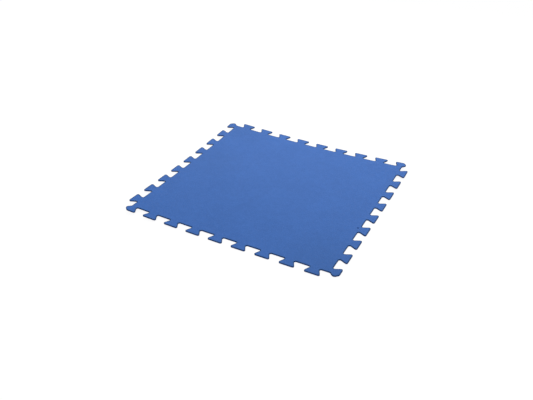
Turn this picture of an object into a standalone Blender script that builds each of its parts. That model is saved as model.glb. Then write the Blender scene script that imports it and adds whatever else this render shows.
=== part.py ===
"""Interlocking foam mat tile, a square sheet that locks into others like it.

The tile is three plies bonded face to face and then die-cut through together: a wear film on top,
a foam core, and a grip film underneath. Every side carries the same row of dovetail tabs and
notches, and each side is the one before it turned by 90 degrees, so any side of one tile locks
into any side of another.

Frame: +Z up. The underside lies on Z = 0, and the origin is the middle of the underside.
"""

import math

import bmesh
import bpy
from mathutils import Matrix, Vector
from mathutils.geometry import delaunay_2d_cdt

# Driving dimensions, in metres
MODULE = 0.780  # from the centre of one laid tile to the centre of the next
TABS_PER_SIDE = 9  # the corner tab is one of them
TAB_DEPTH = 0.0315  # from the floor of a notch to the end of a tab
TAB_HEAD = 0.059  # the wide, outer end of a tab
CORNER_RADIUS = 0.0053  # at every corner of the outline but those of the next line
CORNER_TAB_RADIUS = 0.0100  # at the tip of each corner tab and at the corner after it
FIT_GAP = 0.0008  # between the edges of two tiles that are locked together
THICKNESS = 0.004  # all three plies together
WEAR_FILM = 0.0004
GRIP_FILM = 0.0004
BOND_LINE = 0.0003  # between two plies that are bonded face to face

# What follows from them
PITCH = MODULE / TABS_PER_SIDE
TAB_NECK = PITCH - TAB_HEAD  # the inner end of a tab, and so the mouth of a notch
FIELD = MODULE - TAB_DEPTH  # the side of the square that the notch floors lie on
CORNER_TAB_AT = PITCH / 4 - TAB_DEPTH / 2  # puts every tab opposite a notch of the next tile

ARC_STEPS = 3  # straight pieces in each rounded corner
ARC_SHARE = 0.48  # the most of an edge that the rounded corner at one end of it may take


def tab_outline(centre):
    """One dovetail tab as (along, outward) points, from its neck round to its neck."""
    return [
        (centre - TAB_NECK / 2, 0),
        (centre - TAB_HEAD / 2, TAB_DEPTH),
        (centre + TAB_HEAD / 2, TAB_DEPTH),
        (centre + TAB_NECK / 2, 0),
    ]


def side_outline():
    """One side as (along, outward) points, from its own corner of the field to the next one.

    Where four laid tiles meet, their notch floors bound a square as wide as a tab is deep. Each
    tile fills a quarter of that square with the pointed outer edge of one corner tab, whose tip
    is the second point.
    """
    points = [(0, 0), (-TAB_DEPTH / 2, TAB_DEPTH / 2), (0, TAB_DEPTH)]
    points += tab_outline(CORNER_TAB_AT)[2:]
    for number in range(1, TABS_PER_SIDE):
        points += tab_outline(CORNER_TAB_AT + number * PITCH)
    return points


def side_radii():
    """The radius at each point of one side's outline."""
    radii = [CORNER_RADIUS] * len(side_outline())
    radii[1:3] = [CORNER_TAB_RADIUS] * 2
    return radii


def laid_outline():
    """The cell that one tile takes up in a laid floor, counterclockwise from the front left."""
    corner = Vector((-FIELD / 2, -FIELD / 2))
    front = [corner + Vector((along, -outward)) for along, outward in side_outline()]
    quarter_turns = [Matrix.Rotation(turn * math.pi / 2, 2) for turn in range(4)]
    return [quarter_turn @ point for quarter_turn in quarter_turns for point in front]


def edges_at(points, number):
    """The edge that arrives at this point and the edge that leaves it, as vectors."""
    following = points[(number + 1) % len(points)]
    return points[number] - points[number - 1], following - points[number]


def leftwards(vector):
    """The unit vector a quarter turn to the left of this one: inwards, on a counterclockwise edge."""
    return Vector((-vector.y, vector.x)).normalized()


def inset(points, distance):
    """The outline with every edge moved inwards by this distance."""
    moved = []
    for number, point in enumerate(points):
        arriving, leaving = (leftwards(edge) for edge in edges_at(points, number))
        moved.append(point + (arriving + leaving) * distance / (1 + arriving.dot(leaving)))
    return moved


def rounded(points, radii):
    """The outline with an arc at each corner, of its own radius or what its edges have room for."""
    arcs = []
    for number, (point, radius) in enumerate(zip(points, radii)):
        arriving, leaving = edges_at(points, number)
        turn = math.atan2(arriving.cross(leaving), arriving.dot(leaving))
        room = ARC_SHARE * min(arriving.length, leaving.length)
        reach = min(radius * math.tan(abs(turn) / 2), room)
        start = point - arriving.normalized() * reach
        centre = start + leftwards(arriving) * reach / math.tan(turn / 2)
        for step in range(ARC_STEPS + 1):
            arcs.append(centre + Matrix.Rotation(turn * step / ARC_STEPS, 2) @ (start - centre))
    return arcs


def tile_outline():
    """The die line: the laid cell less half the fit gap, with its corners rounded."""
    return rounded(inset(laid_outline(), FIT_GAP / 2), side_radii() * 4)


def plain_material(name, colour, roughness):
    """A material with one colour and one roughness."""
    material = bpy.data.materials.new(name)
    material.use_nodes = True
    shader = material.node_tree.nodes["Principled BSDF"]
    shader.inputs["Base Color"].default_value = (*colour, 1)
    shader.inputs["Roughness"].default_value = roughness
    shader.inputs["Metallic"].default_value = 0
    material.diffuse_color = (*colour, 1)
    return material


def ply(name, outline, bottom, thickness, material):
    """One ply of the tile, cut to the outline and lying level with its lower face at this height."""
    count = len(outline)
    border = [(number, (number + 1) % count) for number in range(count)]
    flat, _, faces, *_ = delaunay_2d_cdt(outline, border, [], 1, 1e-6)
    bm = bmesh.new()
    verts = [bm.verts.new((point.x, point.y, bottom)) for point in flat]
    lower = [bm.faces.new([verts[corner] for corner in reversed(face)]) for face in faces]
    raised = bmesh.ops.extrude_face_region(bm, geom=lower)["geom"]
    upper_verts = [item for item in raised if isinstance(item, bmesh.types.BMVert)]
    bmesh.ops.translate(bm, verts=upper_verts, vec=(0, 0, thickness))
    bmesh.ops.recalc_face_normals(bm, faces=bm.faces)
    mesh = bpy.data.meshes.new(name)
    bm.to_mesh(mesh)
    bm.free()
    mesh.shade_smooth()
    mesh.set_sharp_from_angle(angle=math.radians(50))
    mesh.materials.append(material)
    piece = bpy.data.objects.new(name, mesh)
    bpy.context.scene.collection.objects.link(piece)
    return piece


def build_tile():
    """The three plies, from the underside up."""
    outline = tile_outline()
    core_bottom = GRIP_FILM + BOND_LINE
    wear_bottom = THICKNESS - WEAR_FILM
    core = wear_bottom - BOND_LINE - core_bottom
    grip = plain_material("grip_film", (0.030, 0.075, 0.200), 0.75)
    foam = plain_material("foam", (0.016, 0.045, 0.135), 0.85)
    wear = plain_material("wear_film", (0.072, 0.165, 0.474), 0.50)
    ply("grip_film", outline, 0, GRIP_FILM, grip)
    ply("foam_core", outline, core_bottom, core, foam)
    ply("wear_film", outline, wear_bottom, WEAR_FILM, wear)


for leftover in list(bpy.data.objects):
    bpy.data.objects.remove(leftover, do_unlink=True)
build_tile()
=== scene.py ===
"""Looks of the interlocking foam mat tile: three bonded plies, die-cut as one, with curled corners.

Everything is in metres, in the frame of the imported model: +Z up, the underside on Z = 0, and the
origin in the middle of the tile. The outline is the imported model's, worked out again with finer
corners and swollen a little. Each ply gets its own closed mesh in the place of its CAD solid, with
the cut edge that a die leaves: the upper film is drawn down over it, and the foam between the films
springs back.
"""

import math

import bmesh
import bpy
import numpy as np
from mathutils import Matrix, Quaternion, Vector, noise
from mathutils.geometry import delaunay_2d_cdt
from mathutils.kdtree import KDTree


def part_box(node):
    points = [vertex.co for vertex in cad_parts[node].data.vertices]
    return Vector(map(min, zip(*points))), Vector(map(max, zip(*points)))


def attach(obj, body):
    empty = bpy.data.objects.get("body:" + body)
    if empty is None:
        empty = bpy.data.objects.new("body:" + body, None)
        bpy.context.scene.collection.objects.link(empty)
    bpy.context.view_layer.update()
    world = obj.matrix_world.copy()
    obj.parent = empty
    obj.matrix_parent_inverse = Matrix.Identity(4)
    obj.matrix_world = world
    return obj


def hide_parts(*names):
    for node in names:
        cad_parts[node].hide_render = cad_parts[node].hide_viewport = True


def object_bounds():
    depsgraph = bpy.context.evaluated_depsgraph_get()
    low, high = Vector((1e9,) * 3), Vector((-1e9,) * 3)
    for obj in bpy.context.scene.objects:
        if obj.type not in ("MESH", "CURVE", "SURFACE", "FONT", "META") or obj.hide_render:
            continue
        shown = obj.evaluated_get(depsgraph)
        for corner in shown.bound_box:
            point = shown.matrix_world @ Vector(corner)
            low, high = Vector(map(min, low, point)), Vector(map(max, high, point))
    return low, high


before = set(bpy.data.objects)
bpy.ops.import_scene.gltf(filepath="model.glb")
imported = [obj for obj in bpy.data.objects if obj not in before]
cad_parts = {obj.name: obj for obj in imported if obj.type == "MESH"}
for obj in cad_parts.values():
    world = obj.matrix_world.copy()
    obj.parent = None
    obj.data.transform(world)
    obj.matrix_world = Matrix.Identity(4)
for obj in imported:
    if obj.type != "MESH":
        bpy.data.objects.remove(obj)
CAD_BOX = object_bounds()

# The outline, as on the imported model
TABS_PER_SIDE = 9
TAB_DEPTH = 0.0315
TAB_HEAD = 0.059
CORNER_RADIUS = 0.0053
CORNER_TAB_RADIUS = 0.0100  # at the tip of each corner tab and at the corner after it
FIT_GAP = 0.0008
MODULE = CAD_BOX[1].x - CAD_BOX[0].x + FIT_GAP - TAB_DEPTH
PITCH = MODULE / TABS_PER_SIDE
TAB_NECK = PITCH - TAB_HEAD
FIELD = MODULE - TAB_DEPTH
CORNER_TAB_AT = PITCH / 4 - TAB_DEPTH / 2
ARC_SHARE = 0.48

# Heights: two plies meet in the middle of their bond line
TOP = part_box("wear_film")[1].z
WEAR_BOND = (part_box("foam_core")[1].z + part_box("wear_film")[0].z) / 2
GRIP_BOND = (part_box("grip_film")[1].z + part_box("foam_core")[0].z) / 2
BOND_SLIT = 0.00003  # left between two plies, so that their faces never coincide

# The cut edge
EDGE_SWELL = 0.0004  # how far the soft edge swells past the die line, so that laid tiles touch
ROLL_WIDTH = 0.0013  # how far in from the edge the upper film starts to roll down
ROLL_DROP = 0.0003  # how far down it rolls
EDGE_SHADE_WIDTH = 0.0046  # how far in from the edge the film carries painted shade, deepest at the edge
EDGE_SHADE_RINGS = (0.0024, 0.0038)  # rings of points on the upper face that carry this painted shade
BOND_INSET = 0.0001  # how far in from the edge the plies meet
SPRING_BACK = 0.0001  # how much further in the foam's cut wall is, half way up
LOWER_ROUND = 0.0003  # the rounding of the lower film's edge

# How fine the meshes are
ARC_STEPS = 6  # along the arc at each corner of the outline
ROLL_STEPS = 6  # round the rolled edge of the upper film
LOWER_STEPS = 3  # round the edge of the lower film
WALL_STEPS = 6  # up the cut wall of the foam
RUN_STEP = 0.0026  # along the straight stretches of the outline
SHOWN_PITCH = 0.0036  # between the points of the upper face
UNDER_PITCH = 0.0055  # between the points of the underside
HIDDEN_PITCH = 0.022  # between the points of a face that lies against another ply
CLEAR_SHARE = 0.6  # the share of a pitch that stays free of points along a border
SAME_POINT = 1e-7  # points nearer than this to each other are one
SHARP_ANGLE = math.radians(55)  # an edge where the surface turns by more than this is sharp

# How the sheet lies: the corners curl up, front left, front right, back right and back left
CORNER_LIFTS = (0.0086, 0.0012, 0.0086, 0.0086)
CURL_FROM = 0.80  # on a scale where each corner of the field is at 2 and the middle at 0
CURL_POWER = 2.3

# The relief of the upper face, which is mesh: long swells and a short orange peel
SWELL = 0.00008
SWELL_LENGTH = 0.06
PEEL = 0.00003
PEEL_LENGTH = 0.011

# A small nick through the upper film, near the right side
NICK_AT = (0.3660, -0.1036)
NICK_RADIUS = 0.0038
NICK_DEPTH = 0.0004
NICK_REACH = 1.35  # the outermost ring of points round it, as a share of its radius
NICK_RINGS = ((0.3, 6), (0.6, 10), (0.85, 14), (1.0, 16), (NICK_REACH, 16))  # share and points
NICK_SHADE = 4  # how steeply the nick turns dark navy from its rim inwards

# The grain of the surfaces, which is bump: lengths and depths
EMBOSS_CELL = 0.0016
EMBOSS_GRAIN = 0.0009
EMBOSS_DEPTH = 0.00013
FOAM_CELL = 0.0007
FOAM_DEPTH = 0.00025
RIB_PITCH = 0.003
RIB_DEPTH = 0.0003

# The mottle of the surfaces, which is colour: lengths
FILM_FLECK = 0.0048
FILM_PATCH = 0.022
FILM_CLOUD = 0.14
FOAM_PATCH = 0.006
GRIP_PATCH = 0.05

# Where the upper film turns to painted shade along its cut edge, then to navy at the rim as painted
# shade and in the nick, on the scale of the nearness stored on each point
EDGE_SHADE_FROM, EDGE_SHADE_TO = 0.05, 0.8
RIM_SHADE_AND_NICK_FROM, RIM_SHADE_AND_NICK_TO = 0.88, 0.98

# Linear colours
FILM_BLUE = (0.0264, 0.1190, 0.4100)
FILM_DEEP = (0.0185, 0.0955, 0.3420)
# Painted shade on the film, for the band along its cut edge and for broad darker patches
FILM_SHADE = (0.0110, 0.0520, 0.1450)
# The foam's navies are partly the colour of its cut cells and partly painted shade on its cut walls
FOAM_NAVY = (0.0044, 0.0320, 0.1550)
FOAM_DARK = (0.0024, 0.0190, 0.1000)
GRIP_BLUE = (0.0160, 0.0640, 0.2200)

# A rubbed spot and patches of painted shade on the upper film: x, y, radius, the colour it turns
# towards, and how far in the middle
RUB_AND_SHADE_PATCHES = (
    (-0.103, -0.227, 0.045, FILM_DEEP, 0.22),  # a rubbed spot near the front left
    (0.380, -0.380, 0.300, FILM_SHADE, 0.19),  # painted shade, darker towards the front right corner
    (-0.380, 0.380, 0.250, FILM_SHADE, 0.12),  # painted shade, darker towards the back left corner
    (-0.300, 0.060, 0.160, FILM_SHADE, 0.09),  # painted shade in a patch along the left side
)

# The studio
FLOOR_WHITE = (0.12, 0.12, 0.12)
FLOOR_GLOW = 0.912  # the floor is a light table, which leaves no shadow under the tile
FLOOR_RADIUS = 24
FLOOR_STEPS = 96  # round it
COVE = 6  # the radius of the bend from the floor to the wall
COVE_STEPS = 12
WALL_TOP = 9
ROOM_LIGHT = 0.72
SOFTBOX_SIZE = (3.7, 2.1)
SOFTBOX_POWER = 51
SOFTBOX_AT = (-0.22, 1.66, 1.37)
SOFTBOX_AIM = (-0.1, 0.1, 0)
SENSOR = 36  # millimetres, like the lens
LENS = 43.20
CAMERA_AT = (0.8739, -1.8552, 1.2316)
CAMERA_AIM = (0.0110, -0.0918, 0)
CAMERA_TILT = math.radians(1.84)


# ---- Outline ----


def tab_outline(centre):
    """One dovetail tab as (along, outward) points, from its neck round to its neck."""
    return [
        (centre - TAB_NECK / 2, 0),
        (centre - TAB_HEAD / 2, TAB_DEPTH),
        (centre + TAB_HEAD / 2, TAB_DEPTH),
        (centre + TAB_NECK / 2, 0),
    ]


def side_outline():
    """One side as (along, outward) points, from its own corner of the field to the next one."""
    points = [(0, 0), (-TAB_DEPTH / 2, TAB_DEPTH / 2), (0, TAB_DEPTH)]
    points += tab_outline(CORNER_TAB_AT)[2:]
    for number in range(1, TABS_PER_SIDE):
        points += tab_outline(CORNER_TAB_AT + number * PITCH)
    return points


def side_radii():
    """The radius at each point of one side's outline."""
    radii = [CORNER_RADIUS] * len(side_outline())
    radii[1:3] = [CORNER_TAB_RADIUS] * 2
    return radii


def laid_outline():
    """The corners of the cell that the tile takes up in a laid floor, counterclockwise."""
    corner = Vector((-FIELD / 2, -FIELD / 2))
    front = [corner + Vector((along, -outward)) for along, outward in side_outline()]
    quarter_turns = [Matrix.Rotation(turn * math.pi / 2, 2) for turn in range(4)]
    return [quarter_turn @ point for quarter_turn in quarter_turns for point in front]


def edges_at(points, number):
    """The edge that arrives at this point and the edge that leaves it."""
    following = points[(number + 1) % len(points)]
    return points[number] - points[number - 1], following - points[number]


def leftwards(vector):
    """The unit vector a quarter turn to the left: inwards, on a counterclockwise edge."""
    return Vector((-vector.y, vector.x)).normalized()


def inset(points, distance):
    """The outline with every edge moved inwards by this distance."""
    moved = []
    for number, point in enumerate(points):
        arriving, leaving = (leftwards(edge) for edge in edges_at(points, number))
        moved.append(point + (arriving + leaving) * distance / (1 + arriving.dot(leaving)))
    return moved


def corner_arcs(corners, radii):
    """The arc at each corner of the outline, as a list of (point, inward normal) pairs."""
    arcs = []
    for number, (point, radius) in enumerate(zip(corners, radii)):
        arriving, leaving = edges_at(corners, number)
        turn = math.atan2(arriving.cross(leaving), arriving.dot(leaving))
        room = ARC_SHARE * min(arriving.length, leaving.length)
        reach = min(radius * math.tan(abs(turn) / 2), room)
        start = point - arriving.normalized() * reach
        inwards = leftwards(arriving)
        centre = start + inwards * reach / math.tan(turn / 2)
        bends = [Matrix.Rotation(turn * step / ARC_STEPS, 2) for step in range(ARC_STEPS + 1)]
        arcs.append([(centre + bend @ (start - centre), bend @ inwards) for bend in bends])
    return arcs


def die_line():
    """Points along the cut edge and the inward normal at each, as two arrays."""
    arcs = corner_arcs(inset(laid_outline(), FIT_GAP / 2 - EDGE_SWELL), side_radii() * 4)
    line = []
    for number, arc in enumerate(arcs):
        line += arc
        end, inwards = arc[-1]
        run = arcs[(number + 1) % len(arcs)][0][0] - end
        pieces = max(1, round(run.length / RUN_STEP))
        line += [(end + run * piece / pieces, inwards) for piece in range(1, pieces)]
    return np.array([point for point, _ in line]), np.array([normal for _, normal in line])


# ---- Heights ----


def curl(points):
    """How far the curling corners lift the sheet at each of these points."""
    lift = np.zeros(len(points))
    corners = ((-1, -1), (1, -1), (1, 1), (-1, 1))
    for (side_x, side_y), height in zip(corners, CORNER_LIFTS):
        towards = (side_x * points[:, 0] + side_y * points[:, 1]) / (FIELD / 2)
        share = np.clip((towards - CURL_FROM) / (2 - CURL_FROM), 0, None)
        lift += height * share**CURL_POWER
    return lift


def noise_at(points, length, seed):
    """Smooth noise between about -1 and 1 at each point, with bumps about this long."""
    return np.array([noise.noise(Vector((x / length, y / length, seed))) for x, y in points[:, :2]])


def nick_depth(points):
    """How deep the nick is at each of these points, from 0 outside it to 1 at its bottom."""
    away = np.hypot(points[:, 0] - NICK_AT[0], points[:, 1] - NICK_AT[1])
    return np.clip(1 - (away / NICK_RADIUS) ** 2, 0, 1)


def film_relief(points):
    """The swells, which only go down, the orange peel and the nick of the upper face, as heights."""
    swells = SWELL * (noise_at(points, SWELL_LENGTH, seed=3) - 1)
    peel = PEEL * noise_at(points, PEEL_LENGTH, seed=7)
    return swells + peel - NICK_DEPTH * nick_depth(points)


# ---- Ply meshes ----


def ring(line, normals, in_by, height):
    """The cut edge moved inwards, at this height, as an array of points."""
    flat = line + normals * np.reshape(in_by, (-1, 1))
    return np.column_stack([flat, np.full(len(line), height)])


def lattice(pitch):
    """A triangular lattice of points over the tile's square."""
    half = CAD_BOX[1].x
    row_gap = pitch * math.sqrt(3) / 2
    rows = int(2 * half / row_gap)
    columns = int(2 * half / pitch)
    shifts = [pitch / 4 * (-1) ** row for row in range(rows + 1)]
    return np.array(
        [
            ((column - columns / 2) * pitch + shifts[row], (row - rows / 2) * row_gap)
            for row in range(rows + 1)
            for column in range(columns + 1)
        ]
    )


def nick_points():
    """Rings of points round the nick, which the lattice is too coarse for."""
    points = [NICK_AT]
    for share, count in NICK_RINGS:
        for number in range(count):
            angle = math.tau * (number + share) / count
            reach = share * NICK_RADIUS
            points.append((NICK_AT[0] + reach * math.cos(angle), NICK_AT[1] + reach * math.sin(angle)))
    return np.array(points)


def fill(border, pitch, with_nick):
    """Triangles over a closed border, and the points inside it that they use.

    The points inside are numbered after those of the border.
    """
    inside = lattice(pitch)
    if with_nick:
        away = np.hypot(inside[:, 0] - NICK_AT[0], inside[:, 1] - NICK_AT[1])
        inside = np.concatenate([inside[away > NICK_REACH * NICK_RADIUS + pitch / 2], nick_points()])
    tree = KDTree(len(border))
    for number, point in enumerate(border):
        tree.insert((point[0], point[1], 0), number)
    tree.balance()
    room = CLEAR_SHARE * pitch
    clear = [point for point in inside if tree.find((point[0], point[1], 0))[2] > room]
    count = len(border)
    points = [Vector(point[:2]) for point in border] + [Vector(point) for point in clear]
    edges = [(number, (number + 1) % count) for number in range(count)]
    _, _, faces, sources, *_ = delaunay_2d_cdt(points, edges, [], 1, SAME_POINT)
    triangles = np.array([[sources[corner][0] for corner in face] for face in faces])
    used = np.unique(triangles[triangles >= count])
    places = np.arange(len(points))
    places[used] = count + np.arange(len(used))
    return places[triangles], np.array([points[number] for number in used])


def ply(name, rings, upper_pitch, lower_pitch, relief=None):
    """A closed mesh from rings, lowest first, with a face of triangles on the first and the last."""
    count = len(rings[0])
    numbers = np.arange(count)
    after = (numbers + 1) % count
    band = np.column_stack([numbers, after, after + count, numbers + count])
    sides = [level * count + band for level in range(len(rings) - 1)]
    upper, upper_points = fill(rings[-1], upper_pitch, relief is not None)
    lower, lower_points = fill(rings[0], lower_pitch, False)
    last = (len(rings) - 1) * count
    total = len(rings) * count
    upper = np.where(upper < count, upper + last, upper - count + total)
    lower = np.where(lower < count, lower, lower - count + total + len(upper_points))
    upper_points = np.column_stack([upper_points, np.full(len(upper_points), rings[-1][0, 2])])
    lower_points = np.column_stack([lower_points, np.full(len(lower_points), rings[0][0, 2])])
    if relief is not None:
        upper_points[:, 2] = TOP + relief(upper_points)
    points = np.concatenate([*rings, upper_points, lower_points])
    points[:, 2] += curl(points)
    faces = [*np.concatenate(sides).tolist(), *upper.tolist(), *lower[:, ::-1].tolist()]
    mesh = bpy.data.meshes.new(name)
    mesh.from_pydata(points.tolist(), [], faces)
    mesh.validate()
    mesh.shade_smooth()
    mesh.set_sharp_from_angle(angle=SHARP_ANGLE)
    piece = bpy.data.objects.new(name, mesh)
    bpy.context.scene.collection.objects.link(piece)
    return piece


def quarter_round(width, drop, steps):
    """Insets and drops along a quarter of an ellipse, from the side face over to the upper face."""
    angles = [math.pi / 2 * step / steps for step in range(steps + 1)]
    return [(width * (1 - math.cos(angle)), drop * (1 - math.sin(angle))) for angle in angles]


def mark_edge_shade_and_nick(piece, line):
    """Stores on each point how near it is to the cut edge or the nick: 1 on it, 0 past the band of
    painted shade along the edge.
    """
    tree = KDTree(len(line))
    for number, (x, y) in enumerate(line):
        tree.insert((x, y, 0), number)
    tree.balance()
    mesh = piece.data
    places = np.array([vertex.co for vertex in mesh.vertices])
    away = np.array([tree.find((x, y, 0))[2] for x, y, _ in places])
    near_edge = np.clip(1 - away / EDGE_SHADE_WIDTH, 0, 1)
    shown = np.maximum(near_edge, np.clip(NICK_SHADE * nick_depth(places), 0, 1))
    attribute = mesh.attributes.new("edge_shade_and_nick", "FLOAT", "POINT")
    attribute.data.foreach_set("value", shown.astype(np.float32))


def wear_film(line, normals):
    """The upper film, drawn down over the cut edge."""
    roll = quarter_round(ROLL_WIDTH, ROLL_DROP, ROLL_STEPS)
    rings = [ring(line, normals, BOND_INSET, WEAR_BOND + BOND_SLIT)]
    rings += [ring(line, normals, in_by, TOP - drop) for in_by, drop in roll]
    for in_by in EDGE_SHADE_RINGS:
        level = ring(line, normals, in_by, TOP)
        level[:, 2] += film_relief(level) * (in_by - ROLL_WIDTH) / (EDGE_SHADE_RINGS[-1] - ROLL_WIDTH)
        rings.append(level)
    piece = ply("wear_film_skin", rings, SHOWN_PITCH, HIDDEN_PITCH, film_relief)
    mark_edge_shade_and_nick(piece, line)
    return piece


def foam_core(line, normals):
    """The foam between the films, its cut wall a little hollow."""
    rings = []
    for level in range(WALL_STEPS + 1):
        share = level / WALL_STEPS
        height = GRIP_BOND + share * (WEAR_BOND - GRIP_BOND)
        hollow = BOND_INSET + SPRING_BACK * math.sin(math.pi * share)
        rings.append(ring(line, normals, hollow, height))
    return ply("foam_core_body", rings, HIDDEN_PITCH, HIDDEN_PITCH)


def grip_film(line, normals):
    """The lower film, whose edge the die leaves nearly square."""
    round_off = quarter_round(LOWER_ROUND, LOWER_ROUND, LOWER_STEPS)
    rings = [ring(line, normals, in_by, drop) for in_by, drop in reversed(round_off)]
    rings.append(ring(line, normals, BOND_INSET, GRIP_BOND - BOND_SLIT))
    return ply("grip_film_skin", rings, HIDDEN_PITCH, UNDER_PITCH)


# ---- Materials ----


class Nodes:
    """A material's node tree, with one short call for each kind of node."""

    def __init__(self, name):
        self.material = bpy.data.materials.new(name)
        self.material.use_nodes = True
        self.tree = self.material.node_tree
        self.shader = self.tree.nodes["Principled BSDF"]
        self.place = self.add("ShaderNodeTexCoord").outputs["Object"]

    def add(self, kind, **settings):
        node = self.tree.nodes.new(kind)
        for name, value in settings.items():
            setattr(node, name, value)
        return node

    def join(self, source, target):
        self.tree.links.new(source, target)

    def noise(self, length, detail=2.0):
        """Noise with bumps about this long."""
        node = self.add("ShaderNodeTexNoise")
        self.join(self.place, node.inputs["Vector"])
        node.inputs["Scale"].default_value = 1 / length
        node.inputs["Detail"].default_value = detail
        return node.outputs["Fac"]

    def cells(self, length):
        """Soft cells about this wide, lowest in the middle of each."""
        node = self.add("ShaderNodeTexVoronoi", feature="SMOOTH_F1")
        self.join(self.place, node.inputs["Vector"])
        node.inputs["Scale"].default_value = 1 / length
        return node.outputs["Distance"]

    def distance_to(self, point):
        node = self.add("ShaderNodeVectorMath", operation="DISTANCE")
        self.join(self.place, node.inputs[0])
        node.inputs[1].default_value = point
        return node.outputs["Value"]

    def ridges(self, length, direction):
        """Ridges this far apart, one after another in this direction."""
        node = self.add("ShaderNodeTexWave", wave_type="BANDS", bands_direction=direction)
        self.join(self.place, node.inputs["Vector"])
        # A wave texture at scale 1 has a band about every 0.314 units.
        node.inputs["Scale"].default_value = math.pi / 10 / length
        return node.outputs["Fac"]

    def maths(self, operation, first, second):
        node = self.add("ShaderNodeMath", operation=operation)
        for socket, value in zip(node.inputs, (first, second)):
            if isinstance(value, float):
                socket.default_value = value
            else:
                self.join(value, socket)
        return node.outputs["Value"]

    def blend(self, first, first_part, second, second_part):
        """This much of the first value and this much of the second, added up."""
        first = self.maths("MULTIPLY", first, first_part)
        second = self.maths("MULTIPLY", second, second_part)
        return self.maths("ADD", first, second)

    def remap(self, value, low, high, to_low=0.0, to_high=1.0):
        """A smooth step from to_low to to_high while the value goes from low to high."""
        node = self.add("ShaderNodeMapRange", interpolation_type="SMOOTHSTEP")
        self.join(value, node.inputs["Value"])
        ends = {"From Min": low, "From Max": high, "To Min": to_low, "To Max": to_high}
        for name, number in ends.items():
            node.inputs[name].default_value = number
        return node.outputs["Result"]

    def mix(self, share, first, second):
        """The first colour, with this share of the second."""
        node = self.add("ShaderNodeMix", data_type="RGBA")
        self.join(share, node.inputs["Factor"])
        for socket, colour in zip((node.inputs[6], node.inputs[7]), (first, second)):
            if isinstance(colour, tuple):
                socket.default_value = (*colour, 1)
            else:
                self.join(colour, socket)
        return node.outputs[2]

    def finish(self, colour, roughness, height, depth, specular):
        """Feeds the shader, with the height as bump of this depth, and gives the material."""
        bump = self.add("ShaderNodeBump")
        bump.inputs["Distance"].default_value = depth
        self.join(height, bump.inputs["Height"])
        self.join(bump.outputs["Normal"], self.shader.inputs["Normal"])
        self.join(colour, self.shader.inputs["Base Color"])
        self.join(roughness, self.shader.inputs["Roughness"])
        self.shader.inputs["Specular IOR Level"].default_value = specular
        return self.material


def film_material():
    """Embossed blue film: a fine leather grain, faint mottling, painted shade along its cut edge, navy
    at its rim and in the nick, a rubbed spot, and broad patches of painted shade.
    """
    nodes = Nodes("blue_embossed_film")
    fleck = nodes.noise(FILM_FLECK)
    patches = nodes.maths("ADD", nodes.noise(FILM_CLOUD, 3.0), nodes.noise(FILM_PATCH))
    mottle = nodes.blend(patches, 0.3, fleck, 0.7)
    film = nodes.mix(nodes.remap(mottle, 0.4, 0.9), FILM_DEEP, FILM_BLUE)
    # A rubbed spot, and broad patches of painted shade that darken the top face
    for x, y, radius, shade, share in RUB_AND_SHADE_PATCHES:
        away = nodes.distance_to((x, y, TOP))
        rub_and_shade = nodes.remap(away, 0.0, radius, to_low=share, to_high=0.0)
        film = nodes.mix(rub_and_shade, film, shade)
    edge_shade_and_nick = nodes.add("ShaderNodeAttribute", attribute_name="edge_shade_and_nick").outputs["Fac"]
    # Painted shade in a band along the cut edge, then navy at the rim as painted shade and in the
    # middle of the nick
    edge_shaded = nodes.mix(nodes.remap(edge_shade_and_nick, EDGE_SHADE_FROM, EDGE_SHADE_TO), film, FILM_SHADE)
    colour = nodes.mix(nodes.remap(edge_shade_and_nick, RIM_SHADE_AND_NICK_FROM, RIM_SHADE_AND_NICK_TO), edge_shaded, FOAM_NAVY)
    grain = nodes.maths("ADD", nodes.cells(EMBOSS_CELL), nodes.noise(EMBOSS_GRAIN))
    relief = nodes.blend(grain, 1.0, fleck, 2.0)
    roughness = nodes.remap(edge_shade_and_nick, 0.2, 0.9, to_low=0.58, to_high=0.9)
    return nodes.finish(colour, roughness, relief, EMBOSS_DEPTH, specular=0.13)


def foam_material():
    """Dark blue closed-cell foam, cut through its cells, its darkness partly the cut cells' own colour
    and partly painted shade on the cut walls.
    """
    nodes = Nodes("navy_cut_foam")
    cells = nodes.cells(FOAM_CELL)
    tone = nodes.blend(cells, 0.5, nodes.noise(FOAM_PATCH), 1.0)
    colour = nodes.mix(nodes.remap(tone, 0.4, 1.1), FOAM_DARK, FOAM_NAVY)
    roughness = nodes.remap(cells, 0.0, 1.0, to_low=0.80, to_high=0.95)
    return nodes.finish(colour, roughness, cells, FOAM_DEPTH, specular=0.15)


def grip_material():
    """Matt film with a fine square weave of ridges that keeps the tile from sliding."""
    nodes = Nodes("blue_ribbed_grip_film")
    weave = nodes.maths("MULTIPLY", nodes.ridges(RIB_PITCH, "X"), nodes.ridges(RIB_PITCH, "Y"))
    tone = nodes.blend(weave, 0.3, nodes.noise(GRIP_PATCH, 3.0), 0.7)
    colour = nodes.mix(nodes.remap(tone, 0.2, 0.8), FOAM_NAVY, GRIP_BLUE)
    roughness = nodes.remap(weave, 0.0, 1.0, to_low=0.85, to_high=0.70)
    return nodes.finish(colour, roughness, weave, RIB_DEPTH, specular=0.20)


def floor_material():
    """Matt white that glows evenly."""
    nodes = Nodes("white_floor")
    nodes.shader.inputs["Base Color"].default_value = (*FLOOR_WHITE, 1)
    nodes.shader.inputs["Emission Color"].default_value = (1, 1, 1, 1)
    nodes.shader.inputs["Emission Strength"].default_value = FLOOR_GLOW
    nodes.shader.inputs["Roughness"].default_value = 0.9
    nodes.shader.inputs["Specular IOR Level"].default_value = 0.0
    return nodes.material


# ---- Scene ----


def dress(piece, node, material):
    """Puts a piece in the place of its CAD ply."""
    piece.data.materials.append(material)
    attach(piece, "root")
    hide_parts(node)


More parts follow.
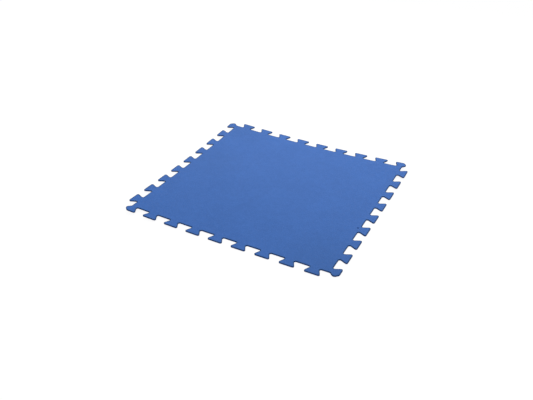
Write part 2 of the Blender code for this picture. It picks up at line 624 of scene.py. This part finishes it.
def build_floor():
    """A round floor whose rim turns up into a wall, so that no horizon shows behind the tile."""
    bends = [math.pi / 2 * step / COVE_STEPS for step in range(COVE_STEPS + 1)]
    profile = [(FLOOR_RADIUS + COVE * math.sin(bend), COVE * (1 - math.cos(bend))) for bend in bends]
    profile = [(0, 0), *profile, (FLOOR_RADIUS + COVE, WALL_TOP)]
    bm = bmesh.new()
    points = [bm.verts.new((across, 0, up)) for across, up in profile]
    edges = [bm.edges.new(pair) for pair in zip(points, points[1:])]
    bmesh.ops.spin(
        bm,
        geom=points + edges,
        axis=(0, 0, 1),
        angle=math.tau,
        steps=FLOOR_STEPS,
        use_merge=True,
    )
    bmesh.ops.remove_doubles(bm, verts=bm.verts, dist=0.001)  # joins the copies of the middle point
    bmesh.ops.recalc_face_normals(bm, faces=bm.faces)
    mesh = bpy.data.meshes.new("floor")
    bm.to_mesh(mesh)
    bm.free()
    mesh.shade_smooth()
    mesh.materials.append(floor_material())
    floor = bpy.data.objects.new("floor", mesh)
    bpy.context.scene.collection.objects.link(floor)


def light_studio():
    """A white room and one wide soft light above the far side of the tile."""
    world = bpy.data.worlds.new("white_room")
    world.use_nodes = True
    world.node_tree.nodes["Background"].inputs["Color"].default_value = (1, 1, 1, 1)
    world.node_tree.nodes["Background"].inputs["Strength"].default_value = ROOM_LIGHT
    bpy.context.scene.world = world
    light = bpy.data.lights.new("softbox", "AREA")
    light.shape = "RECTANGLE"
    light.size, light.size_y = SOFTBOX_SIZE
    light.energy = SOFTBOX_POWER
    softbox = bpy.data.objects.new("softbox", light)
    softbox.location = SOFTBOX_AT
    sight = Vector(SOFTBOX_AIM) - softbox.location
    softbox.rotation_euler = sight.to_track_quat("-Z", "Y").to_euler()
    softbox.visible_camera = False
    bpy.context.scene.collection.objects.link(softbox)


def set_camera():
    """Looks down on the tile from the front right, with the picture tilted a little."""
    camera = bpy.data.objects.new("camera", bpy.data.cameras.new("camera"))
    camera.data.sensor_width = SENSOR
    camera.data.lens = LENS
    camera.location = CAMERA_AT
    sight = Vector(CAMERA_AIM) - camera.location
    camera.rotation_mode = "QUATERNION"
    camera.rotation_quaternion = sight.to_track_quat("-Z", "Y") @ Quaternion((0, 0, 1), CAMERA_TILT)
    bpy.context.scene.collection.objects.link(camera)
    bpy.context.scene.camera = camera


bpy.context.scene.view_settings.view_transform = "Standard"
set_camera()
light_studio()
build_floor()
edge, edge_normals = die_line()
core = foam_core(edge, edge_normals)
dress(core, "foam_core", foam_material())
dress(wear_film(edge, edge_normals), "wear_film", film_material())
dress(grip_film(edge, edge_normals), "grip_film", grip_material())
